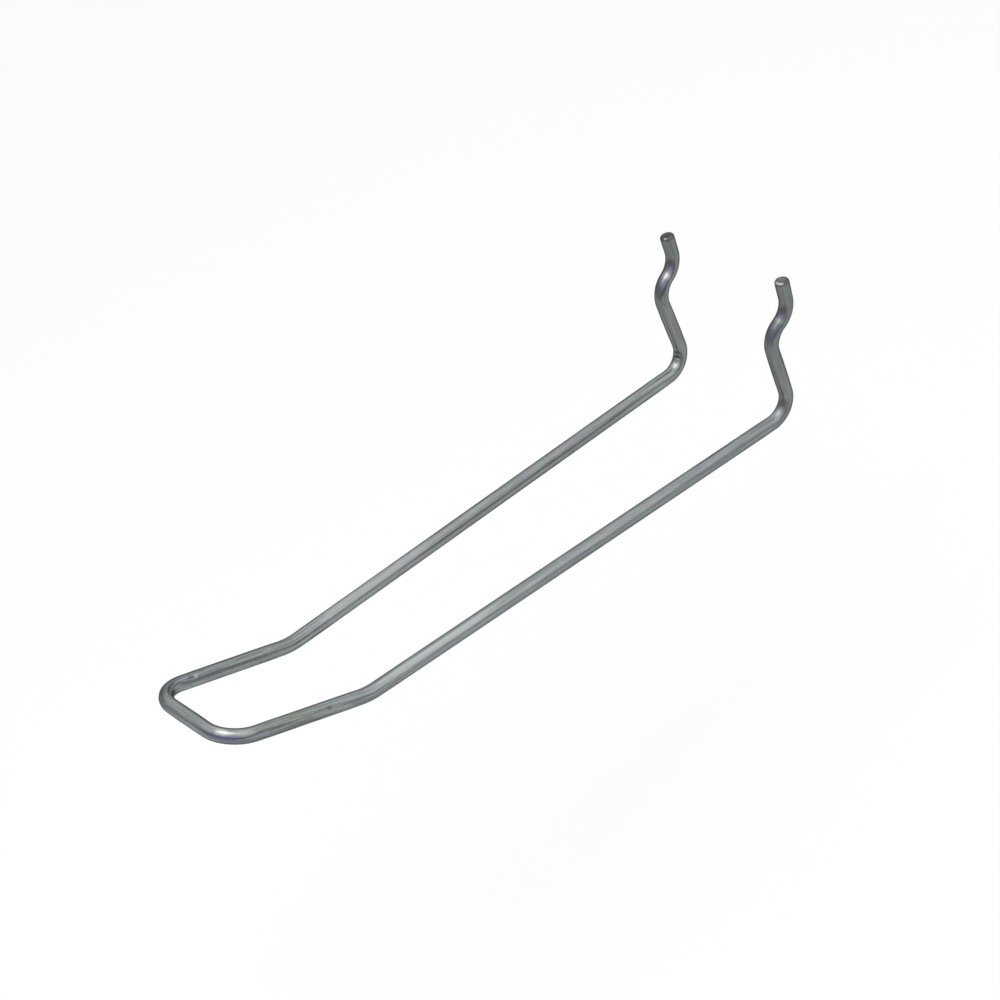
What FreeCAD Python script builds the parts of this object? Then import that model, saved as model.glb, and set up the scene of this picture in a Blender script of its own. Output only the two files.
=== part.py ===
import FreeCAD, Part
import math
import os

import Sketcher
from FreeCAD import Placement, Rotation, Vector

# Pegboard loop hook: one length of round steel wire, bent alike on both sides.
# From each prong behind the board the wire jogs down through its hole, runs down the
# board as a leg, turns forward as an arm, lifts into a lip and crosses over the front bar.
# Frame: +Z up, +Y into the board, -Y to the front; the origin lies on the board's front
# face, midway between the two holes. Lengths run between the corners of the bent path,
# radii are those of the wire's centre line. Millimetres and degrees.
NODE = "hook_wire"

SIZES = (
    ("wire_diameter", 4.76, "drawn round wire, 3/16 inch"),
    ("hole_spacing", 50.8, "centre distance of the two board holes, 2 inches"),
    ("board_thickness", 5.5, "throat between leg and prong"),
    ("jog_rise", 20.0, "climb of the jog from the leg to the prong"),
    ("prong_length", 12.0, "jog corner to the cut end"),
    ("prong_lean", 4.5, "lean of the prong away from the board"),
    ("heel_drop", 33.0, "hole centre down to the heel corner"),
    ("arm_length", 172.8, "heel corner to the lip corner"),
    ("arm_rise", 9.4, "climb of the arm towards the front"),
    ("lip_length", 49.9, "lip corner to the front corner"),
    ("lip_rise", 17.3, "further climb of the lip over the arm"),
    ("arm_splay", 1.94, "turn of each side outwards towards the board"),
    ("prong_splay", 1.88, "lean of each side outwards towards the top"),
    ("front_radius", 10.3, "bend at the front corners"),
    ("lip_radius", 22.5, "bend between arm and lip"),
    ("heel_radius", 7.5, "bend between arm and leg"),
    ("jog_straight", 0.4, "straight wire left between the two bends of the jog"),
    ("end_chamfer", 0.7, "broken edge of the cut ends"),
)
size = {name: value for name, value, note in SIZES}

doc = FreeCAD.newDocument("pegboard_hook")

sheet = doc.addObject("Spreadsheet::Sheet", "Sizes")
for row, (name, value, note) in enumerate(SIZES, start=1):
    sheet.set(f"A{row}", name)
    sheet.set(f"B{row}", str(value))
    sheet.set(f"C{row}", note)
    sheet.setAlias(f"B{row}", name)
doc.recompute()

body = doc.addObject("PartDesign::Body", "HookWire")
body.Label = NODE
body.Placement = Placement()
plane = {feature.Role: feature for feature in body.Origin.OriginFeatures}


# A sketch in the body, laid on one of its origin planes.
def sketch_on(name, role):
    sketch = body.newObject("Sketcher::SketchObject", name)
    sketch.AttachmentSupport = [(plane[role], "")]
    sketch.MapMode = "FlatFace"
    return sketch


# A value in the sketch that follows the sheet.
def drive(sketch, constraint, name, expression):
    index = sketch.addConstraint(constraint)
    sketch.renameConstraint(index, name)
    sketch.setExpression(f"Constraints.{name}", expression)


# A run of straight wire between corners, each corner rounded: a bend has a name, a radius and its formula.
# Construction lines join the corners; the arcs touch them and the straights fill in between.
def bent_run(sketch, corners, bends):
    frame = []
    for start, end in zip(corners, corners[1:]):
        frame.append(sketch.addGeometry(Part.LineSegment(start, end), True))
    for line, following in zip(frame, frame[1:]):
        sketch.addConstraint(Sketcher.Constraint("Coincident", line, 2, following, 1))
    last_point = corners[0]
    last_joint = (frame[0], 1)
    for place, (bend_name, radius, radius_text) in enumerate(bends):
        corner = corners[place + 1]
        back = (corners[place] - corner).normalize()
        ahead = (corners[place + 2] - corner).normalize()
        half_angle = back.getAngle(ahead) / 2
        start = corner + back * (radius / math.tan(half_angle))
        end = corner + ahead * (radius / math.tan(half_angle))
        centre = corner + (back + ahead).normalize() * (radius / math.sin(half_angle))
        turns_left = ahead.cross(back).z > 0
        first, second = (start, end) if turns_left else (end, start)
        start_pos, end_pos = (1, 2) if turns_left else (2, 1)
        circle = Part.Circle(centre, Vector(0, 0, 1), radius)
        angles = [math.atan2(point.y - centre.y, point.x - centre.x) for point in (first, second)]
        straight = sketch.addGeometry(Part.LineSegment(last_point, start), False)
        arc = sketch.addGeometry(Part.ArcOfCircle(circle, *angles), False)
        sketch.addConstraint(Sketcher.Constraint("Coincident", straight, 1, *last_joint))
        sketch.addConstraint(Sketcher.Constraint("Coincident", straight, 2, arc, start_pos))
        sketch.addConstraint(Sketcher.Constraint("Tangent", arc, start_pos, frame[place]))
        sketch.addConstraint(Sketcher.Constraint("Tangent", arc, end_pos, frame[place + 1]))
        drive(sketch, Sketcher.Constraint("Radius", arc, radius), bend_name, radius_text)
        last_point = end
        last_joint = (arc, end_pos)
    straight = sketch.addGeometry(Part.LineSegment(last_point, corners[-1]), False)
    sketch.addConstraint(Sketcher.Constraint("Coincident", straight, 1, *last_joint))
    sketch.addConstraint(Sketcher.Constraint("Coincident", straight, 2, frame[-1], 2))
    return frame


# A turn or a direction counted from the sketch's own x axis.
def steer(sketch, line, name, degrees, expression):
    constraint = Sketcher.Constraint("Angle", line, math.radians(degrees))
    drive(sketch, constraint, name, f"({expression}) * 1 deg")


# A wire section: a circle around the sketch's origin.
def wire_section(sketch):
    circle = Part.Circle(Vector(0, 0, 0), Vector(0, 0, 1), size["wire_diameter"] / 2)
    ring = sketch.addGeometry(circle, False)
    sketch.addConstraint(Sketcher.Constraint("Coincident", ring, 3, -1, 1))
    constraint = Sketcher.Constraint("Diameter", ring, size["wire_diameter"])
    drive(sketch, constraint, "wire_diameter", "Sizes.wire_diameter")


# Corners of one side in its own plane: x into the board, y up, from the hole's centre.
# The leg lies against the board's face, and the jog crosses the board at the hole.
rise = math.radians(size["arm_rise"])
lip_climb = math.radians(size["arm_rise"] + size["lip_rise"])
jog_climb = math.radians(size["jog_rise"])
upright = math.radians(90.0 - size["prong_lean"])
throat = size["board_thickness"] + size["wire_diameter"]
leg_x = -size["wire_diameter"] / 2
jog_half = throat / 2 * math.tan(jog_climb)
heel = Vector(leg_x, -size["heel_drop"], 0)
leg_top = Vector(leg_x, -jog_half, 0)
prong_foot = Vector(leg_x + throat, jog_half, 0)
prong_end = prong_foot + Vector(math.cos(upright), math.sin(upright), 0) * size["prong_length"]
lip_foot = heel + Vector(-math.cos(rise), math.sin(rise), 0) * size["arm_length"]
lip_way = Vector(-math.cos(lip_climb), math.sin(lip_climb), 0)
lip_middle = lip_foot + lip_way * (size["lip_length"] / 2)
front_corner = lip_foot + lip_way * size["lip_length"]

side = sketch_on("SidePath", "YZ_Plane")
side.AttachmentOffset = Placement(
    Vector(0, 0, size["hole_spacing"] / 2), Rotation(0, -size["arm_splay"], size["prong_splay"])
)
side.setExpression(".AttachmentOffset.Base.z", "Sizes.hole_spacing / 2")
side.setExpression(".AttachmentOffset.Rotation.Pitch", "-Sizes.arm_splay")
side.setExpression(".AttachmentOffset.Rotation.Roll", "Sizes.prong_splay")
throat_text = "(Sizes.board_thickness + Sizes.wire_diameter)"
# Both bends of the jog share one radius, which uses up the jog but for its short straight.
lower_half_turn = math.radians(90 - size["jog_rise"]) / 2
upper_half_turn = math.radians(90 - size["prong_lean"] - size["jog_rise"]) / 2
jog_length = throat / math.cos(jog_climb)
jog_radius = (jog_length - size["jog_straight"]) / (math.tan(lower_half_turn) + math.tan(upper_half_turn))
jog_radius_text = (
    f"({throat_text} / cos(Sizes.jog_rise) - Sizes.jog_straight)"
    " / (tan((90 - Sizes.jog_rise) / 2) + tan((90 - Sizes.prong_lean - Sizes.jog_rise) / 2))"
)
lip_line, arm_line, leg_line, jog_line, prong_line = bent_run(
    side,
    [lip_middle, lip_foot, heel, leg_top, prong_foot, prong_end],
    [
        ("lip_bend", size["lip_radius"], "Sizes.lip_radius"),
        ("heel_bend", size["heel_radius"], "Sizes.heel_radius"),
        ("jog_bend", jog_radius, jog_radius_text),
        ("prong_bend", jog_radius, jog_radius_text),
    ],
)
sketch_origin = (-1, 1)
side.addConstraint(Sketcher.Constraint("Vertical", leg_line))
drive(
    side,
    Sketcher.Constraint("DistanceX", *sketch_origin, leg_line, 1, leg_x),
    "leg_place",
    "-Sizes.wire_diameter / 2",
)
drive(
    side,
    Sketcher.Constraint("DistanceY", leg_line, 1, *sketch_origin, size["heel_drop"]),
    "heel_drop",
    "Sizes.heel_drop",
)
drive(
    side,
    Sketcher.Constraint("DistanceY", leg_line, 2, *sketch_origin, jog_half),
    "jog_half",
    f"{throat_text} / 2 * tan(Sizes.jog_rise)",
)
drive(side, Sketcher.Constraint("DistanceX", jog_line, 1, jog_line, 2, throat), "throat", throat_text)
drive(
    side,
    Sketcher.Constraint("Distance", prong_line, size["prong_length"]),
    "prong_length",
    "Sizes.prong_length",
)
drive(side, Sketcher.Constraint("Distance", arm_line, size["arm_length"]), "arm_length", "Sizes.arm_length")
drive(
    side,
    Sketcher.Constraint("Distance", lip_line, size["lip_length"] / 2),
    "lip_half",
    "Sizes.lip_length / 2",
)
steer(side, jog_line, "jog_rise", size["jog_rise"], "Sizes.jog_rise")
steer(side, prong_line, "prong_lean", 90 - size["prong_lean"], "90 - Sizes.prong_lean")
steer(side, arm_line, "arm_rise", -size["arm_rise"], "-Sizes.arm_rise")
steer(
    side,
    lip_line,
    "lip_rise",
    -(size["arm_rise"] + size["lip_rise"]),
    "-(Sizes.arm_rise + Sizes.lip_rise)",
)

# The front bar lies square to the middle plane, in the plane that holds both lips.
climb_text = "(Sizes.arm_rise + Sizes.lip_rise)"
corner_in_text = (
    "(-Sizes.wire_diameter / 2 - Sizes.arm_length * cos(Sizes.arm_rise)"
    f" - Sizes.lip_length * cos{climb_text})"
)
corner_up_text = (
    "(-Sizes.heel_drop + Sizes.arm_length * sin(Sizes.arm_rise)"
    f" + Sizes.lip_length * sin{climb_text})"
)
bar_half_text = (
    f"(Sizes.hole_spacing / 2 + {corner_in_text} * sin(Sizes.arm_splay)"
    f" + {corner_up_text} * cos(Sizes.arm_splay) * sin(Sizes.prong_splay))"
)
bar_y_text = (
    f"({corner_in_text} * cos(Sizes.arm_splay)"
    f" - {corner_up_text} * sin(Sizes.arm_splay) * sin(Sizes.prong_splay))"
)
bar_z_text = f"({corner_up_text} * cos(Sizes.prong_splay))"
plane_run_text = (
    f"(cos{climb_text} * cos(Sizes.arm_splay)"
    f" + sin{climb_text} * sin(Sizes.arm_splay) * sin(Sizes.prong_splay))"
)
plane_rise_text = f"(sin{climb_text} * cos(Sizes.prong_splay))"
lip_side_text = (
    f"(cos{climb_text} * sin(Sizes.arm_splay)"
    f" - sin{climb_text} * cos(Sizes.arm_splay) * sin(Sizes.prong_splay))"
)

turned = Rotation(0, -size["arm_splay"], size["prong_splay"])
side_plane = Placement(Vector(size["hole_spacing"] / 2, 0, 0), Rotation(Vector(1, 1, 1), 120) * turned)
bar_end = side_plane.multVec(front_corner)
lip_back = side_plane.Rotation.multVec(-lip_way)
plane_climb = math.degrees(math.atan2(-lip_back.z, lip_back.y))
lip_side = math.asin(lip_back.x)

front = sketch_on("FrontPath", "XY_Plane")
front.AttachmentOffset = Placement(Vector(0, bar_end.y, bar_end.z), Rotation(0, 0, -plane_climb))
front.setExpression(".AttachmentOffset.Base.y", bar_y_text)
front.setExpression(".AttachmentOffset.Base.z", bar_z_text)
front.setExpression(".AttachmentOffset.Rotation.Roll", f"-atan2({plane_rise_text}; {plane_run_text})")
bar_corner = Vector(bar_end.x, 0, 0)
lip_ahead = Vector(math.sin(lip_side), math.cos(lip_side), 0)
bar_line, front_lip_line = bent_run(
    front,
    [Vector(0, 0, 0), bar_corner, bar_corner + lip_ahead * (size["lip_length"] / 2)],
    [("front_bend", size["front_radius"], "Sizes.front_radius")],
)
front.addConstraint(Sketcher.Constraint("Coincident", bar_line, 1, *sketch_origin))
front.addConstraint(Sketcher.Constraint("Horizontal", bar_line))
drive(front, Sketcher.Constraint("Distance", bar_line, bar_end.x), "bar_half", bar_half_text)
drive(
    front,
    Sketcher.Constraint("Distance", front_lip_line, size["lip_length"] / 2),
    "lip_half",
    "Sizes.lip_length / 2",
)
drive(
    front,
    Sketcher.Constraint("Angle", front_lip_line, math.pi / 2 - lip_side),
    "lip_turn",
    f"90 deg - asin({lip_side_text})",
)
doc.recompute()

bar_section = sketch_on("BarSection", "YZ_Plane")
bar_section.AttachmentOffset = Placement(Vector(bar_end.y, bar_end.z, 0), Rotation())
bar_section.setExpression(".AttachmentOffset.Base.x", bar_y_text)
bar_section.setExpression(".AttachmentOffset.Base.y", bar_z_text)
wire_section(bar_section)

lip_section = body.newObject("Sketcher::SketchObject", "LipSection")
lip_section.AttachmentSupport = [(side, "Edge1")]
lip_section.MapMode = "NormalToEdge"
lip_section.MapPathParameter = 0.0
wire_section(lip_section)
doc.recompute()


# The wire along one path.
def wire_along(name, section, path):
    pipe = body.newObject("PartDesign::AdditivePipe", name)
    pipe.Profile = section
    pipe.Spine = (path, [f"Edge{number + 1}" for number in range(len(path.Shape.Edges))])
    doc.recompute()
    return pipe


front_wire = wire_along("FrontWire", bar_section, front)
side_wire = wire_along("SideWire", lip_section, side)

both_sides = body.newObject("PartDesign::Mirrored", "BothSides")
both_sides.Originals = [front_wire, side_wire]
both_sides.MirrorPlane = (plane["YZ_Plane"], [""])
body.Tip = both_sides
doc.recompute()

# The sheared ends of the wire have their edge broken all round.
end_point = side.Placement.multVec(prong_end)
end_names = []
for number, edge in enumerate(both_sides.Shape.Edges, start=1):
    middle = edge.CenterOfMass
    mirrored_middle = Vector(abs(middle.x), middle.y, middle.z)
    if mirrored_middle.distanceToPoint(end_point) < size["wire_diameter"] / 4:
        end_names.append(f"Edge{number}")
ends = body.newObject("PartDesign::Chamfer", "CutEnds")
ends.Base = (both_sides, end_names)
ends.Size = size["end_chamfer"]
ends.setExpression("Size", "Sizes.end_chamfer")
body.Tip = ends
doc.recompute()

for item in doc.Objects:
    if "Invalid" in item.State or "Error" in item.State:
        raise RuntimeError(f"{item.Name} did not build: {item.State}")
if body.Shape.isNull() or not body.Shape.isValid() or len(body.Shape.Solids) != 1:
    raise RuntimeError(f"{NODE} is not one sound solid")

os.makedirs("parts", exist_ok=True)
body.Shape.exportStep(f"parts/{NODE}.step")

box = body.Shape.BoundBox
print(f"{NODE}: {box.XLength:.2f} x {box.YLength:.2f} x {box.ZLength:.2f} mm, {body.Shape.Volume:.0f} mm3")
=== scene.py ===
import math

import bmesh
import bpy
from mathutils import Matrix, Vector


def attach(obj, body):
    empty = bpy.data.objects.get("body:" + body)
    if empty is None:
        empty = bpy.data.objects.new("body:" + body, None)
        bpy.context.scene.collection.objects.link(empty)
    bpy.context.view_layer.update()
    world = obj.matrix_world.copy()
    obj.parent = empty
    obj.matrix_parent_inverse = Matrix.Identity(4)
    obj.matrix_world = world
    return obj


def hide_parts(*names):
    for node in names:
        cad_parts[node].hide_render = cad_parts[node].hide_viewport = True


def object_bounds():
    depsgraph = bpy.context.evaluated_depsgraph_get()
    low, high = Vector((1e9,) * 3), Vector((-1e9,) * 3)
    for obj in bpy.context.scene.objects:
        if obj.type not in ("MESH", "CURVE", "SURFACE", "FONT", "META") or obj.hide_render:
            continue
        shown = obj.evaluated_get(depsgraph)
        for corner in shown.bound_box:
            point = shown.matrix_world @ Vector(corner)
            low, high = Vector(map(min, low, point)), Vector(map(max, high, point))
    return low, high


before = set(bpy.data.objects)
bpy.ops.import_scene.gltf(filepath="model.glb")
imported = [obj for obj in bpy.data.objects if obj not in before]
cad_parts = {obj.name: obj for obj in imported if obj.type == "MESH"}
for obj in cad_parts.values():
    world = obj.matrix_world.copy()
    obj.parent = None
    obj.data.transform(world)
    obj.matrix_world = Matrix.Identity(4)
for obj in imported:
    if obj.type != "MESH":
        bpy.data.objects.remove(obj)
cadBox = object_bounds()
print("frame loaded:", sorted(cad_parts))

mm = 0.001

# the bent wire, sizes as on its drawing: millimetres and degrees
hookWire = {
    "diameter": 4.76,
    "holeSpacing": 50.8,
    "boardThickness": 5.5,
    "jogRise": 20.0,
    "jogStraight": 0.4,
    "prongLength": 12.0,
    "leftTrim": 0.7,          # the left prong is cut this much shorter
    "prongLean": 4.5,
    "heelDrop": 33.0,
    "armLength": 172.8,
    "armRise": 9.4,
    "lipLength": 49.9,
    "lipRise": 17.3,
    "armSplay": 1.94,
    "prongSplay": 1.88,
    "frontRadius": 10.3,
    "lipRadius": 22.5,
    "heelRadius": 7.5,
    "endRounding": 1.0,
    "endSegments": 4,
    "endFeed": 1.3,           # no ring lies within the rounding
    "endDish": 0.12,          # the sheared face sinks a little
    "endInsets": (0.2, 0.3, 0.5),
    "rimShade": 0.8,          # and its rounded rim is darker
    "glintHalfWidth": 0.15,         # half the width of the painted highlight on the rim
    "sides": 56,              # facets round the wire
    "feedStep": 3.0,          # ring spacing on the arms
    "fineStep": 0.5,          # ring spacing on the shorter straights
    "longRun": 60.0,          # a straight longer than this is an arm
    "bendStep": 2.0,          # degrees between rings in the bends
    "leastSteps": 6,          # rings in the smallest bend
    "flattening": 0.045,      # the wire is thinner where it is bent
    "fullBend": 45.0,         # from this angle on it is flattened fully
    "leastFlattening": 0.4,   # share of it that the gentlest bend has
    "flatFade": 5.0,          # length over which it is round again
}

# marks left by the bending tools and by handling: along is measured from the left cut end, facing is
# the direction in which the marked skin looks, long and wide are half sizes in millimetres and degrees
wireMarks = [
    {"along": 44.5, "facing": (0.26, -0.91, 0.31), "long": 0.32, "wide": 25, "depth": 0.16},
    {"along": 46.7, "facing": (0.22, -0.81, 0.54), "long": 0.55, "wide": 25, "depth": 0.16},
    {"along": 49.6, "facing": (0.41, -0.43, 0.80), "long": 0.35, "wide": 9, "depth": 0.08},
    {"along": 255.9, "facing": (0.62, 0.36, 0.70), "long": 0.8, "wide": 11, "depth": 0.20},
    {"along": 266.2, "facing": (0.27, 0.63, 0.72), "long": 3.5, "wide": 7, "depth": 0.10},
    {"along": 332.1, "facing": (0.85, 0.21, 0.47), "long": 0.5, "wide": 9, "depth": 0.10},
    {"along": 339.2, "facing": (0.44, 0.40, 0.81), "long": 0.25, "wide": 26, "depth": 0.04},
]

# stains with painted shade, bare spots with painted highlights, and coloured film of the plating, placed in
# the same way
skinTints = {
    # darker spots: dings, stains and the cut ends, and painted shade and painted dark reflections under the
    # arms, lips and heels, on inner bends and over parts of the highlights
    "stainAndPaintedShade": [
        # left prong and jog
        {"along": 9.8, "facing": (0.45, -0.78, 0.43), "long": 1.2, "wide": 28, "amount": 0.25},
        {"along": 18.4, "facing": (0.48, -0.56, 0.68), "long": 1.4, "wide": 40, "amount": 0.18},
        # left leg and heel
        {"along": 44.5, "facing": (0.26, -0.91, 0.31), "long": 0.3, "wide": 22, "amount": 0.85},
        {"along": 46.7, "facing": (0.22, -0.81, 0.54), "long": 0.5, "wide": 22, "amount": 0.85},
        {"along": 49.3, "facing": (0.43, -0.49, 0.76), "long": 0.25, "wide": 5, "amount": 0.7},
        {"along": 51.0, "facing": (0.80, -0.40, -0.45), "long": 4, "wide": 40, "amount": 0.25},
        # left arm
        {"along": 112.0, "facing": (0.78, 0.10, -0.62), "long": 30, "wide": 32, "amount": 0.14},
        {"along": 132.0, "facing": (0.91, 0.09, 0.40), "long": 40, "wide": 16, "amount": 0.18},
        # left lip
        {"along": 232.0, "facing": (0.99, -0.04, -0.12), "long": 12, "wide": 10, "amount": 0.2},
        {"along": 241.0, "facing": (0.45, 0.40, 0.80), "long": 9, "wide": 34, "amount": 0.2},
        {"along": 256.0, "facing": (0.62, 0.36, 0.70), "long": 0.7, "wide": 9, "amount": 0.7},
        # front bar and left corner
        {"along": 266.2, "facing": (0.27, 0.63, 0.72), "long": 3.5, "wide": 6, "amount": 0.8},
        {"along": 279.5, "facing": (0.00, -0.20, 0.98), "long": 6, "wide": 5, "amount": 0.2},
        {"along": 279.5, "facing": (0.00, 0.18, 0.98), "long": 6, "wide": 5, "amount": 0.2},
        # right front corner
        {"along": 301.0, "facing": (0.72, -0.62, -0.30), "long": 4, "wide": 22, "amount": 0.4},
        {"along": 302.0, "facing": (0.10, 0.30, 0.95), "long": 3.5, "wide": 13, "amount": 0.35},
        # right lip
        {"along": 314.5, "facing": (0.82, -0.25, -0.50), "long": 5, "wide": 20, "amount": 0.45},
        {"along": 322.0, "facing": (0.50, 0.38, 0.78), "long": 12, "wide": 14, "amount": 0.22},
        {"along": 332.0, "facing": (0.95, -0.12, -0.28), "long": 25, "wide": 10, "amount": 0.3},
        {"along": 332.1, "facing": (0.85, 0.21, 0.47), "long": 0.5, "wide": 8, "amount": 0.6},
        # right arm
        {"along": 455.0, "facing": (0.78, 0.10, -0.62), "long": 34, "wide": 32, "amount": 0.16},
        # right heel and leg
        {"along": 516.0, "facing": (0.80, -0.40, -0.45), "long": 4, "wide": 40, "amount": 0.25},
        {"along": 520.6, "facing": (0.35, -0.83, 0.42), "long": 1.5, "wide": 26, "amount": 0.42},
        # right jog and prong
        {"along": 549.2, "facing": (0.46, -0.52, 0.72), "long": 1.5, "wide": 36, "amount": 0.42},
        {"along": 557.0, "facing": (0.32, -0.86, 0.40), "long": 1.5, "wide": 30, "amount": 0.35},
    ],
    # brighter spots: a little bare steel at dings, and painted highlights and painted reflections of bright
    # surroundings on the bends, arms, lips and front bar
    "wearAndPaintedHighlight": [
        # left prong and jog
        {"along": 15.6, "facing": (0.63, -0.25, 0.73), "long": 0.6, "wide": 16, "amount": 0.2},
        # left leg and heel
        {"along": 50.2, "facing": (0.42, -0.40, 0.82), "long": 1.1, "wide": 24, "amount": 0.26},
        # left arm
        {"along": 186.0, "facing": (0.36, 0.22, 0.90), "long": 16, "wide": 45, "amount": 0.17},
        # left lip
        {"along": 254.4, "facing": (0.68, 0.33, 0.65), "long": 0.35, "wide": 7, "amount": 0.2},
        # front bar and left corner
        {"along": 279.5, "facing": (0.00, -0.42, 0.91), "long": 6, "wide": 5, "amount": 0.26},
        {"along": 279.5, "facing": (0.00, 0.48, 0.88), "long": 6, "wide": 8, "amount": 0.13},
        {"along": 283.5, "facing": (0.10, -0.80, 0.59), "long": 7, "wide": 40, "amount": 0.12},
        # right front corner
        {"along": 297.6, "facing": (0.36, -0.13, 0.93), "long": 1.1, "wide": 20, "amount": 0.3},
        {"along": 304.0, "facing": (0.58, 0.12, 0.80), "long": 1.6, "wide": 16, "amount": 0.12},
        # right lip
        {"along": 322.0, "facing": (0.12, 0.46, 0.88), "long": 12, "wide": 8, "amount": 0.09},
        {"along": 333.0, "facing": (0.99, 0.02, 0.08), "long": 5, "wide": 12, "amount": 0.13},
        # right arm
        {"along": 372.0, "facing": (0.62, 0.11, 0.78), "long": 16, "wide": 21, "amount": 0.24},
        {"along": 382.0, "facing": (0.93, -0.05, -0.36), "long": 18, "wide": 30, "amount": 0.055},
        {"along": 406.0, "facing": (0.81, 0.08, 0.58), "long": 42, "wide": 9, "amount": 0.14},
        # right heel and leg
        {"along": 514.0, "facing": (0.28, -0.25, 0.93), "long": 2.2, "wide": 32, "amount": 0.12},
        # right jog and prong
        {"along": 551.4, "facing": (0.35, -0.38, 0.85), "long": 0.5, "wide": 30, "amount": 0.09},
    ],
    "blueFilm": [
        # left prong and jog
        {"along": 18.2, "facing": (0.48, -0.56, 0.68), "long": 1.6, "wide": 45, "amount": 0.85},
        # left lip
        {"along": 250.0, "facing": (0.62, 0.36, 0.70), "long": 9.0, "wide": 40, "amount": 0.22},
        # front bar and left corner
        {"along": 291.5, "facing": (0.05, -0.55, 0.83), "long": 3.0, "wide": 25, "amount": 0.4},
        # right front corner
        {"along": 296.0, "facing": (0.42, -0.50, 0.76), "long": 1.8, "wide": 12, "amount": 0.5},
        {"along": 304.5, "facing": (0.88, -0.22, 0.42), "long": 2.6, "wide": 26, "amount": 0.45},
        # right arm
        {"along": 425.0, "facing": (0.70, 0.10, 0.70), "long": 75, "wide": 80, "amount": 0.18},
        # right jog and prong
        {"along": 548.4, "facing": (0.36, -0.56, 0.75), "long": 1.9, "wide": 45, "amount": 0.85},
    ],
    "violetFilm": [
        # left prong and jog
        {"along": 12.0, "facing": (0.52, -0.58, 0.62), "long": 1.3, "wide": 25, "amount": 0.5},
        # right front corner
        {"along": 296.0, "facing": (0.38, -0.70, 0.60), "long": 1.8, "wide": 12, "amount": 0.7},
        {"along": 300.2, "facing": (0.69, -0.46, 0.56), "long": 2.0, "wide": 14, "amount": 0.95},
        # right heel and leg
        {"along": 515.6, "facing": (0.30, -0.40, 0.87), "long": 1.6, "wide": 30, "amount": 0.12},
        # right jog and prong
        {"along": 553.9, "facing": (0.22, -0.66, 0.72), "long": 1.0, "wide": 27, "amount": 0.45},
    ],
    "strawFilm": [
        # left prong and jog
        {"along": 15.4, "facing": (0.57, -0.26, 0.78), "long": 0.8, "wide": 30, "amount": 0.35},
        # left leg and heel
        {"along": 36.0, "facing": (0.55, -0.75, 0.35), "long": 9, "wide": 90, "amount": 0.1},
        # right front corner
        {"along": 301.5, "facing": (0.46, 0.10, 0.88), "long": 2.6, "wide": 20, "amount": 0.4},
    ],
}

spotEdge = 1.6   # the higher this is, the harder the edge of a mark or tint

# the sheared ends, left and right: how dark the face is, and where and how bright a painted highlight on the
# rim is
shearedEnds = [
    {"shade": 0.85, "facing": (0.49, -0.87, 0.09), "wide": 6, "bright": 0.5},
    {"shade": 0.25, "facing": (0.20, -0.96, 0.17), "wide": 31, "bright": 0.62},
]


def turn(degrees):
    return math.radians(degrees)


def sideCorners(w):
    # corners of the right side in its own plane: into the board, up; from the hole's centre
    throat = w["boardThickness"] + w["diameter"]
    legIn = -w["diameter"] / 2
    jogHalf = throat / 2 * math.tan(turn(w["jogRise"]))
    heel = Vector((legIn, -w["heelDrop"]))
    legTop = Vector((legIn, -jogHalf))
    prongFoot = Vector((legIn + throat, jogHalf))
    lean = turn(w["prongLean"])
    prongEnd = prongFoot + Vector((math.sin(lean), math.cos(lean))) * w["prongLength"]
    rise = turn(w["armRise"])
    lipFoot = heel + Vector((-math.cos(rise), math.sin(rise))) * w["armLength"]
    climb = turn(w["armRise"] + w["lipRise"])
    frontCorner = lipFoot + Vector((-math.cos(climb), math.sin(climb))) * w["lipLength"]
    return [prongEnd, prongFoot, legTop, heel, lipFoot, frontCorner]


def wireCorners(w):
    # the side plane turns outwards towards the board and leans outwards towards the top
    splay = turn(w["armSplay"])
    lean = turn(w["prongSplay"])
    inAxis = Vector((math.sin(splay), math.cos(splay), 0))
    outwards = Vector((math.cos(splay), -math.sin(splay), 0))
    upAxis = outwards * math.sin(lean) + Vector((0, 0, math.cos(lean)))
    hole = Vector((w["holeSpacing"] / 2, 0, 0))
    right = [(hole + inAxis * corner.x + upAxis * corner.y) * mm for corner in sideCorners(w)]
    left = [Vector((-corner.x, corner.y, corner.z)) for corner in right]
    left[0] += (left[1] - left[0]).normalized() * w["leftTrim"] * mm
    return left + right[::-1]


def wireRadii(w):
    # both jog bends share the radius that uses up the jog but for its straight
    throat = w["boardThickness"] + w["diameter"]
    jogLength = throat / math.cos(turn(w["jogRise"]))
    lowerHalf = turn(90 - w["jogRise"]) / 2
    upperHalf = turn(90 - w["jogRise"] - w["prongLean"]) / 2
    jogRadius = (jogLength - w["jogStraight"]) / (math.tan(lowerHalf) + math.tan(upperHalf))
    side = [jogRadius, jogRadius, w["heelRadius"], w["lipRadius"], w["frontRadius"]]
    return [radius * mm for radius in side + side[::-1]]


def ringEdges(ring):
    inRing = set(ring)
    return list({edge for vert in ring for edge in vert.link_edges if set(edge.verts) <= inRing})


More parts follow.
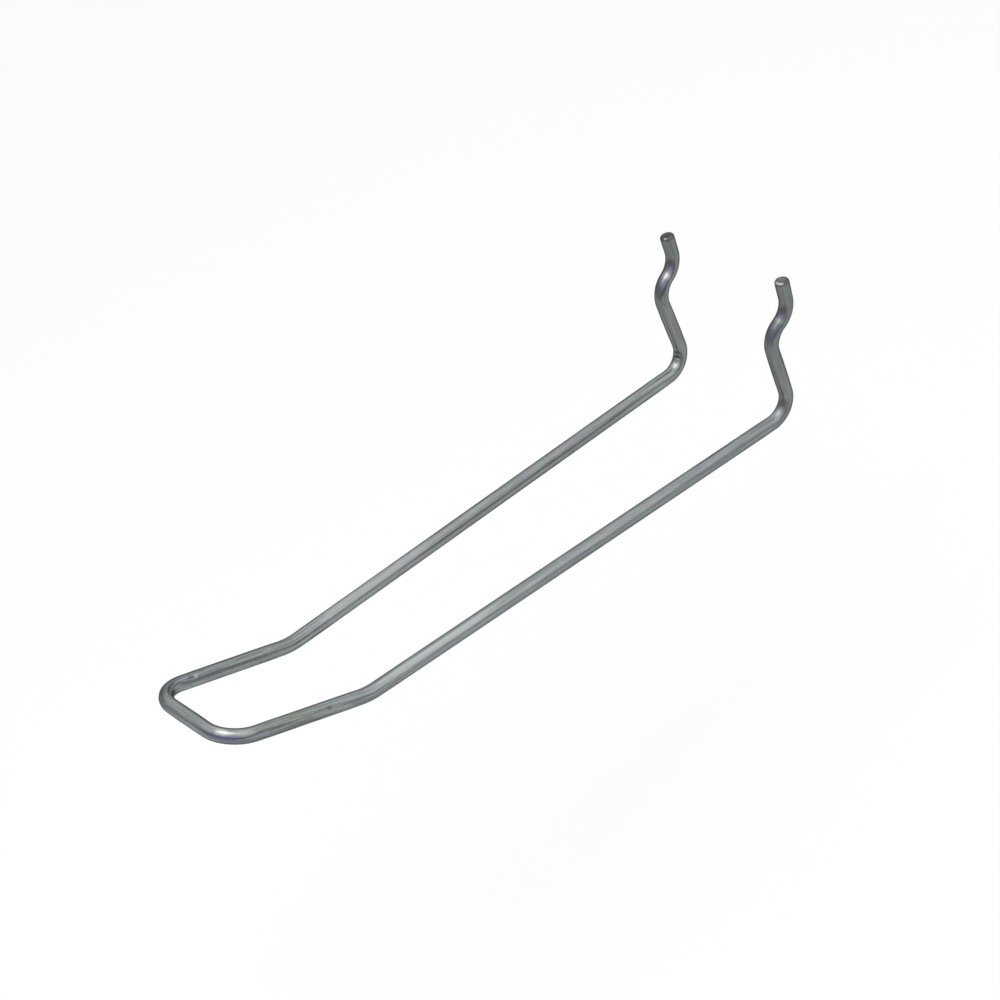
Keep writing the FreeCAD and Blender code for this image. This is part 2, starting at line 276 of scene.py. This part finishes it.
def runWire(w):
    # the wire is run out as on a bending bench: a ring is fed straight, then spun round each bend
    bm = bmesh.new()
    bm.verts.layers.float_vector.new("straightWire")
    for tint in skinTints:
        bm.verts.layers.float.new(tint)
    straightLayer = bm.verts.layers.float_vector["straightWire"]
    corners = wireCorners(w)
    radii = wireRadii(w)
    heading = (corners[1] - corners[0]).normalized()
    stand = Matrix.Translation(corners[0]) @ heading.to_track_quat("Z", "Y").to_matrix().to_4x4()
    wireRadius = w["diameter"] / 2 * mm
    ring = bmesh.ops.create_circle(bm, cap_ends=False, segments=w["sides"], radius=wireRadius)["verts"]
    for vert in ring:
        vert[straightLayer] = Vector((0, vert.co.x, vert.co.y))
    bmesh.ops.transform(bm, matrix=stand, verts=ring)
    rings = [{"verts": ring, "centre": corners[0].copy(), "along": 0.0}]
    bends = []
    place = corners[0].copy()
    along = 0.0

    def advance(steps, length, **spin):
        # one operator for both moves; every new ring keeps its place on the straight wire
        nonlocal ring, along
        before = len(bm.verts)
        bmesh.ops.spin(bm, geom=ringEdges(ring) + list(ring), steps=steps, use_merge=False,
                       use_normal_flip=False, use_duplicate=False, **spin)
        bm.verts.ensure_lookup_table()
        for step in range(steps):
            first = before + step * w["sides"]
            ring = [bm.verts[first + count] for count in range(w["sides"])]
            ringAlong = along + length * (step + 1) / steps
            for vert in ring:
                vert[straightLayer].x = ringAlong
            centre = sum((vert.co for vert in ring), Vector()) / w["sides"]
            rings.append({"verts": ring, "centre": centre, "along": ringAlong})
        along += length

    def feed(steps, length):
        advance(steps, length, cent=(0, 0, 0), axis=(0, 0, 1), angle=0.0, dvec=heading * (length / steps))

    endFeed = w["endFeed"] * mm
    feed(1, endFeed)
    place += heading * endFeed
    for number, corner in enumerate(corners[1:], start=1):
        lastOne = number == len(corners) - 1
        ahead = heading if lastOne else (corners[number + 1] - corner).normalized()
        angle = heading.angle(ahead)
        setback = endFeed if lastOne else radii[number - 1] * math.tan(angle / 2)
        straight = (corner - place).length - setback
        feedStep = w["feedStep"] if straight > w["longRun"] * mm else w["fineStep"]
        feed(max(1, round(straight / (feedStep * mm))), straight)
        if lastOne:
            feed(1, endFeed)
            break
        axis = heading.cross(ahead).normalized()
        inward = axis.cross(heading)
        pivot = corner - heading * setback + inward * radii[number - 1]
        arc = radii[number - 1] * angle
        bends.append({"start": along, "end": along + arc, "axis": axis, "inward": inward, "angle": angle})
        steps = max(w["leastSteps"], round(math.degrees(angle) / w["bendStep"]))
        advance(steps, arc, cent=pivot, axis=axis, angle=angle, dvec=(0, 0, 0))
        place = corner + ahead * setback
        heading = ahead
    return bm, rings, bends


def smooth(value):
    value = min(max(value, 0.0), 1.0)
    return value * value * (3 - 2 * value)


def bendStrain(ring, bend, fade):
    outside = max(bend["start"] - ring["along"], ring["along"] - bend["end"], 0.0)
    return smooth(1 - outside / fade)


def flattenBends(w, rings, bends):
    # bending flattens the section towards the pivot
    fade = w["flatFade"] * mm
    for ring in rings:
        for bend in bends:
            strain = bendStrain(ring, bend, fade)
            if strain == 0:
                continue
            done = (ring["along"] - bend["start"]) / (bend["end"] - bend["start"])
            swing = Matrix.Rotation(bend["angle"] * min(max(done, 0), 1), 3, bend["axis"])
            inward = swing @ bend["inward"]
            sharp = min(bend["angle"] / turn(w["fullBend"]), 1)
            share = w["leastFlattening"] + (1 - w["leastFlattening"]) * sharp
            for vert in ring["verts"]:
                radial = inward * (vert.co - ring["centre"]).dot(inward)
                vert.co -= radial * (w["flattening"] * strain * share)


def skinSpot(rings, spot):
    # vertices round a spot on the skin, each with its outward direction and its share of the spot
    facing = Vector(spot["facing"])
    for ring in rings:
        near = 1 - abs(ring["along"] - spot["along"] * mm) / (2 * spot["long"] * mm)
        if near <= 0:
            continue
        for vert in ring["verts"]:
            outward = (vert.co - ring["centre"]).normalized()
            across = 1 - math.degrees(outward.angle(facing)) / (2 * spot["wide"])
            if across > 0:
                yield vert, outward, smooth(near * spotEdge) * smooth(across * spotEdge)


def pressMarks(rings, marks):
    # each mark pushes the skin in with a soft edge
    for mark in marks:
        for vert, outward, share in skinSpot(rings, mark):
            vert.co -= outward * (mark["depth"] * mm * share)


def layTints(bm, rings, tints):
    # where spots of one tint overlap, the stronger shows
    for tint, spots in tints.items():
        layer = bm.verts.layers.float[tint]
        for spot in spots:
            for vert, outward, share in skinSpot(rings, spot):
                vert[layer] = max(vert[layer], spot["amount"] * share)


def capEnds(w, bm, rings, ends):
    # sheared ends: the rim is rounded over and the face sinks a little towards its middle
    darkLayer = bm.verts.layers.float["stainAndPaintedShade"]
    outer = (rings[0], rings[-1])
    rims = [ringEdges(ring["verts"]) for ring in outer]
    for ring in outer:
        for vert in ring["verts"]:
            vert[darkLayer] = w["rimShade"]
    for rim in rims:
        bmesh.ops.contextual_create(bm, geom=rim)
    bmesh.ops.recalc_face_normals(bm, faces=bm.faces)
    bmesh.ops.bevel(bm, geom=rims[0] + rims[1], offset=w["endRounding"] * mm, offset_type="OFFSET",
                    affect="EDGES", segments=w["endSegments"], profile=0.5, material=-1, clamp_overlap=True)
    caps = [face for face in bm.faces if len(face.verts) == w["sides"]]
    sink = w["endDish"] / len(w["endInsets"]) * mm
    for inset in w["endInsets"]:
        bmesh.ops.inset_region(bm, faces=caps, thickness=inset * mm, depth=-sink)
        for cap in caps:
            middle = cap.calc_center_median()
            apart = [(ring["centre"] - middle).length for ring in outer]
            for vert in cap.verts:
                vert[darkLayer] = ends[apart.index(min(apart))]["shade"]


def paintRimGlints(w, bm, corners, ends):
    # painted highlight: a bright band on part of the rounded rim, where its edge catches the light
    layer = bm.verts.layers.float["wearAndPaintedHighlight"]
    rimRadius = (w["diameter"] - w["endRounding"]) / 2 * mm
    for end, tip, foot in zip(ends, (corners[0], corners[-1]), (corners[1], corners[-2])):
        axis = (tip - foot).normalized()
        facing = Vector(end["facing"])
        for vert in bm.verts:
            reach = vert.co - tip
            if abs(reach.dot(axis)) > w["endRounding"] * mm:
                continue
            flat = reach - axis * reach.dot(axis)
            apart = abs(flat.length - rimRadius) / (w["glintHalfWidth"] * mm)
            if apart < 2:
                across = 1 - math.degrees(flat.angle(facing)) / (2 * end["wide"])
                vert[layer] = end["bright"] * smooth(across * 2) * smooth(2 - apart)


def meshObject(name, bm, material):
    mesh = bpy.data.meshes.new(name)
    bm.to_mesh(mesh)
    bm.free()
    mesh.materials.append(material)
    piece = bpy.data.objects.new(name, mesh)
    bpy.context.collection.objects.link(piece)
    return piece


# bright zinc plate on drawn wire
zincPlate = {
    "coolGrey": (0.325, 0.348, 0.344, 1),
    "deepGrey": (0.163, 0.176, 0.174, 1),
    "dullGrey": (0.158, 0.165, 0.163, 1),
    "blueFilm": (0.185, 0.208, 0.262, 1),
    "violetFilm": (0.205, 0.190, 0.345, 1),
    "strawFilm": (0.400, 0.395, 0.340, 1),
    "pitColour": (0.070, 0.070, 0.068, 1),
    # colour of the darker spots: stains, and painted shade
    "stainAndPaintedShade": (0.085, 0.088, 0.086, 1),
    # colour of the brighter spots: mostly painted highlights
    "wearAndPaintedHighlight": (0.755, 0.785, 0.780, 1),
    "edgeTint": (0.24, 0.25, 0.25, 1),
    "toneShare": 0.15,            # faint rainbow of the plating
    "gritShare": 0.20,            # grit, broad bands and fine lines make up the grain
    "broadShare": 0.15,
    "lineShare": 0.65,
    "lineRange": (0.40, 0.60),    # grain at which the plate is darkest and palest
    "linePolish": 0.6,            # lines and clouds set how rough it is
    "cloudPolish": 0.4,
    "roughRange": (0.36, 0.62),
    "roughest": 0.34,
    "smoothest": 0.20,
    "cloudRange": (0.30, 0.58),   # clouds that break up the film
    "cloudLeast": 0.35,
    "filmFull": 0.6,              # film as strong as this lies on burnished skin
    "burnish": 0.75,
    "pitShare": 0.7,
    "scratchShare": 0.4,
    "stainAndShadeRoughness": 0.14,
    "bumpStrength": 0.5,
    "grainDepth": 0.000035,
    "pitDepth": 0.8,              # as a share of the grain's depth
    "middle": 0.2835,             # half the length of the wire, in metres
    "lips": (0.070, 0.090),       # distance from the middle at which the lips end
    "armLines": 0.35,             # the arms have fainter lines than the front
    "heels": (0.228, 0.250),      # distance from the middle at which the arms end
    "endLines": 0.45,             # the ends have plainer lines than the arms
    "endDullness": 0.65,          # and are duller
    "hazeAlong": (0.306, 0.322),  # the right side is hazier
    "haze": 0.08,
}

# noise in the grain: features per metre along and across the wire
dieGrain = {
    "Grit": {"scale": (1100, 2400, 2400), "detail": 2.0},
    "Line": {"scale": (60, 1750, 1750), "detail": 3.0},
    "Broad": {"scale": (9, 620, 620), "detail": 2.0},
    "Cloud": {"scale": (110, 240, 240), "detail": 3.0},
    "Scratch": {"scale": (50, 1900, 1900), "detail": 1.0, "only": (0.66, 0.72)},   # the deepest few
    "Tone": {"scale": (240, 420, 420), "detail": 1.0, "coloured": True},
}

# pits: cells per metre, size within a cell, and the share of the cells that have one
zincPits = {
    "cells": 330.0,
    "core": 0.05,
    "edge": 0.13,
    "chosen": (0.82, 0.88),
}


def newGroup(name, inputs, outputs):
    group = bpy.data.node_groups.new(name, "ShaderNodeTree")
    for socketName, kind in inputs:
        group.interface.new_socket(socketName, in_out="INPUT", socket_type="NodeSocket" + kind)
    for socketName, kind in outputs:
        group.interface.new_socket(socketName, in_out="OUTPUT", socket_type="NodeSocket" + kind)
    return group, group.nodes.new("NodeGroupInput"), group.nodes.new("NodeGroupOutput")


def addNode(tree, kind, settings=(), values=(), links=()):
    node = tree.nodes.new("ShaderNode" + kind)
    for name, value in dict(settings).items():
        setattr(node, name, value)
    for name, value in dict(values).items():
        node.inputs[name].default_value = value
    for name, source in dict(links).items():
        tree.links.new(source, node.inputs[name])
    return node


def stretchedNoise(tree, vector, scale, detail):
    # noise drawn out along the wire
    mapping = addNode(tree, "Mapping", values={"Scale": scale}, links={"Vector": vector})
    return addNode(tree, "TexNoise", values={"Scale": 1.0, "Detail": detail, "Roughness": 0.6},
                   links={"Vector": mapping.outputs["Vector"]})


def spread(tree, value, low, high, toLow=0.0, toHigh=1.0):
    node = addNode(tree, "MapRange", settings={"interpolation_type": "SMOOTHSTEP"},
                   values={"From Min": low, "From Max": high, "To Min": toLow, "To Max": toHigh},
                   links={"Value": value})
    return node.outputs["Result"]


def combine(tree, operation, first, second):
    node = addNode(tree, "Math", settings={"operation": operation})
    for socket, value in zip(node.inputs, (first, second)):
        if isinstance(value, (int, float)):
            socket.default_value = value
        else:
            tree.links.new(value, socket)
    return node.outputs["Value"]


def mixColour(tree, factor, first, second, blend="MIX"):
    node = addNode(tree, "Mix", settings={"data_type": "RGBA", "blend_type": blend})
    for socketName, value in (("Factor_Float", factor), ("A_Color", first), ("B_Color", second)):
        socket = next(item for item in node.inputs if item.identifier == socketName)
        if isinstance(value, (tuple, float, int)):
            socket.default_value = value
        else:
            tree.links.new(value, socket)
    return next(item for item in node.outputs if item.identifier == "Result_Color")


def weighted(tree, parts):
    # sum of values, each times its share
    total = None
    for value, share in parts:
        part = combine(tree, "MULTIPLY", value, share)
        total = part if total is None else combine(tree, "ADD", total, part)
    return total


def drawnGrain(grain):
    # long lines that the drawing die leaves along the wire, grit between them, and cloudy plating
    outputs = [(name, "Color" if "coloured" in noise else "Float") for name, noise in grain.items()]
    group, entry, leave = newGroup("drawnGrain", [("Vector", "Vector")], outputs)
    for name, noise in grain.items():
        texture = stretchedNoise(group, entry.outputs["Vector"], noise["scale"], noise["detail"])
        value = texture.outputs["Color" if "coloured" in noise else "Fac"]
        if "only" in noise:
            value = spread(group, value, *noise["only"])
        group.links.new(value, leave.inputs[name])
    return group


def platingPits(p):
    # scattered pits and specks in the plating
    group, entry, leave = newGroup("platingPits", [("Vector", "Vector")], [("Pit", "Float")])
    cells = addNode(group, "TexVoronoi", settings={"feature": "F1"}, values={"Scale": p["cells"]},
                    links={"Vector": entry.outputs["Vector"]})
    near = spread(group, cells.outputs["Distance"], p["core"], p["edge"], 1.0, 0.0)
    pick = addNode(group, "SeparateColor", links={"Color": cells.outputs["Color"]})
    chosen = spread(group, pick.outputs["Red"], *p["chosen"])
    group.links.new(combine(group, "MULTIPLY", near, chosen), leave.inputs["Pit"])
    return group


def brightZinc(z):
    material = bpy.data.materials.new("brightZinc")
    material.use_nodes = True
    tree = material.node_tree
    shader = tree.nodes["Principled BSDF"]
    straight = addNode(tree, "Attribute", settings={"attribute_name": "straightWire"}).outputs["Vector"]
    grain = addNode(tree, "Group", settings={"node_tree": drawnGrain(dieGrain)}, links={"Vector": straight})
    pits = addNode(tree, "Group", settings={"node_tree": platingPits(zincPits)}, links={"Vector": straight})
    cloud = grain.outputs["Cloud"]
    pit = pits.outputs["Pit"]
    masks = {tint: addNode(tree, "Attribute", settings={"attribute_name": tint}).outputs["Fac"]
             for tint in skinTints}
    along = addNode(tree, "SeparateXYZ", links={"Vector": straight}).outputs["X"]
    fromMiddle = combine(tree, "ABSOLUTE", combine(tree, "SUBTRACT", along, z["middle"]), 0.0)

    # die lines, plainest round the front
    lines = weighted(tree, [(grain.outputs["Grit"], z["gritShare"]),
                            (grain.outputs["Broad"], z["broadShare"]),
                            (grain.outputs["Line"], z["lineShare"])])
    depth = combine(tree, "ADD", spread(tree, fromMiddle, *z["lips"], 1.0, z["armLines"]),
                    spread(tree, fromMiddle, *z["heels"], 0.0, z["endLines"]))
    lines = combine(tree, "ADD", combine(tree, "MULTIPLY", combine(tree, "SUBTRACT", lines, 0.5), depth), 0.5)

    # grey plate, darker in the lines and duller towards both ends
    colour = mixColour(tree, spread(tree, lines, *z["lineRange"]), z["deepGrey"], z["coolGrey"])
    dull = spread(tree, fromMiddle, *z["heels"], 0.0, z["endDullness"])
    colour = mixColour(tree, dull, colour, z["dullGrey"])
    colour = mixColour(tree, z["toneShare"], colour, grain.outputs["Tone"], "OVERLAY")

    # film of the plating, broken up by the clouds, then pits, then stains with painted shade and bare spots
    # with painted highlights
    patchy = spread(tree, cloud, *z["cloudRange"], z["cloudLeast"], 1.0)
    for film in ("blueFilm", "violetFilm", "strawFilm"):
        colour = mixColour(tree, combine(tree, "MULTIPLY", masks[film], patchy), colour, z[film])
    stain = combine(tree, "MAXIMUM", combine(tree, "MULTIPLY", pit, z["pitShare"]),
                    combine(tree, "MULTIPLY", grain.outputs["Scratch"], z["scratchShare"]))
    colour = mixColour(tree, stain, colour, z["pitColour"])
    # stains and dings, and painted shade
    colour = mixColour(tree, masks["stainAndPaintedShade"], colour, z["stainAndPaintedShade"])
    # bare steel at dings, and painted highlights and painted reflections
    colour = mixColour(tree, masks["wearAndPaintedHighlight"], colour, z["wearAndPaintedHighlight"])
    tree.links.new(colour, shader.inputs["Base Color"])

    # pale lines are smoother, stains with painted shade and the right side rougher, film smoother
    polish = weighted(tree, [(lines, z["linePolish"]), (cloud, z["cloudPolish"])])
    rough = spread(tree, polish, *z["roughRange"], z["roughest"], z["smoothest"])
    rough = combine(tree, "ADD", rough, combine(tree, "MULTIPLY", masks["stainAndPaintedShade"], z["stainAndShadeRoughness"]))
    rough = combine(tree, "ADD", rough, spread(tree, along, *z["hazeAlong"], 0.0, z["haze"]))
    filmed = combine(tree, "MAXIMUM", masks["blueFilm"], masks["strawFilm"])
    rough = combine(tree, "MULTIPLY", rough, spread(tree, filmed, 0.0, z["filmFull"], 1.0, z["burnish"]))
    tree.links.new(rough, shader.inputs["Roughness"])

    height = combine(tree, "SUBTRACT", lines, combine(tree, "MULTIPLY", pit, z["pitDepth"]))
    bump = addNode(tree, "Bump", values={"Strength": z["bumpStrength"], "Distance": z["grainDepth"]},
                   links={"Height": height})
    tree.links.new(bump.outputs["Normal"], shader.inputs["Normal"])
    shader.inputs["Metallic"].default_value = 1.0
    shader.inputs["Specular Tint"].default_value = z["edgeTint"]
    return material


bm, rings, bends = runWire(hookWire)
flattenBends(hookWire, rings, bends)
pressMarks(rings, wireMarks)
layTints(bm, rings, skinTints)
capEnds(hookWire, bm, rings, shearedEnds)
paintRimGlints(hookWire, bm, wireCorners(hookWire), shearedEnds)
bmesh.ops.recalc_face_normals(bm, faces=bm.faces)
for meshFace in bm.faces:
    meshFace.smooth = True
wirePiece = meshObject("bentWire", bm, brightZinc(zincPlate))
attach(wirePiece, "root")
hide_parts("hook_wire")
print("wire run out:", len(wirePiece.data.polygons), "faces,", len(bends), "bends")

# floor and light
studio = {
    "floorDrop": 0.12,                    # the hook hangs clear of the floor
    "floorHalf": 6.0,
    "floorColour": (0.86, 0.86, 0.86, 1),
    "floorRoughness": 0.9,
    # the room is brighter above and behind the board: share of that direction, level
    "skyAxis": (0.15, 0.45, 0.88),
    "sky": [(0.0, 0.50), (0.20, 0.60), (0.42, 1.10), (0.85, 1.28), (1.0, 1.38)],
    # and it darkens low down beyond the right side
    "horizonAxis": (-0.13, -0.075, 1.0),
    "horizon": [(0.0, 0.25), (0.02, 0.40), (0.10, 1.0)],
    "lampPlace": (0.09, -0.19, 0.72),
    "lampSize": 0.40,
    "lampPower": 0.8,
}


def paleFloor(s):
    bm = bmesh.new()
    bmesh.ops.create_grid(bm, x_segments=1, y_segments=1, size=s["floorHalf"])
    bmesh.ops.translate(bm, vec=(0, 0, cadBox[0][2] - s["floorDrop"]), verts=bm.verts)
    material = bpy.data.materials.new("paleFloor")
    material.use_nodes = True
    shader = material.node_tree.nodes["Principled BSDF"]
    shader.inputs["Base Color"].default_value = s["floorColour"]
    shader.inputs["Roughness"].default_value = s["floorRoughness"]
    shader.inputs["Specular IOR Level"].default_value = 0.0
    meshObject("floor", bm, material)


def skyLevel(tree, direction, axis, stops):
    # light level by how far a direction leans towards the axis
    share = addNode(tree, "VectorMath", settings={"operation": "DOT_PRODUCT"})
    share.inputs[1].default_value = axis
    tree.links.new(direction, share.inputs[0])
    ramp = addNode(tree, "ValToRGB", links={"Fac": share.outputs["Value"]})
    while len(ramp.color_ramp.elements) < len(stops):
        ramp.color_ramp.elements.new(0.5)
    for element, (place, level) in zip(ramp.color_ramp.elements, stops):
        element.position = place
        element.color = (level, level, level, 1)
    return ramp.outputs["Color"]


def studioLight(s):
    world = bpy.data.worlds.new("studio")
    bpy.context.scene.world = world
    world.use_nodes = True
    tree = world.node_tree
    background = tree.nodes["Background"]
    direction = addNode(tree, "TexCoord").outputs["Generated"]
    tree.links.new(skyLevel(tree, direction, s["skyAxis"], s["sky"]), background.inputs["Color"])
    tree.links.new(skyLevel(tree, direction, s["horizonAxis"], s["horizon"]), background.inputs["Strength"])
    lamp = bpy.data.lights.new("softbox", "AREA")
    lamp.shape = "SQUARE"
    lamp.size = s["lampSize"]
    lamp.energy = s["lampPower"]
    lampObject = bpy.data.objects.new("softbox", lamp)
    lampObject.location = s["lampPlace"]
    bpy.context.collection.objects.link(lampObject)


# camera at the photograph's angle: metres, degrees, and millimetres for the lens
cameraSet = {
    "eye": (0.62527, -0.41024, 0.57769),
    "aim": (0.10133, -0.14829, 0.09347),
    "roll": -24.257,
    "lens": 107.124,
    "sensor": 36.0,
    "nearClip": 0.01,
}


def photoCamera(c):
    camera = bpy.data.cameras.new("photoCamera")
    camera.lens = c["lens"]
    camera.sensor_width = c["sensor"]
    camera.sensor_height = c["sensor"]
    camera.sensor_fit = "HORIZONTAL"
    camera.clip_start = c["nearClip"]
    cameraObject = bpy.data.objects.new("photoCamera", camera)
    sight = Vector(c["aim"]) - Vector(c["eye"])
    level = sight.to_track_quat("-Z", "Y").to_matrix().to_4x4()
    tilt = Matrix.Rotation(turn(c["roll"]), 4, "Z")
    cameraObject.matrix_world = Matrix.Translation(c["eye"]) @ level @ tilt
    bpy.context.collection.objects.link(cameraObject)
    bpy.context.scene.camera = cameraObject


paleFloor(studio)
studioLight(studio)
photoCamera(cameraSet)
bpy.context.scene.view_settings.view_transform = "Standard"
print("floor, light and camera set")
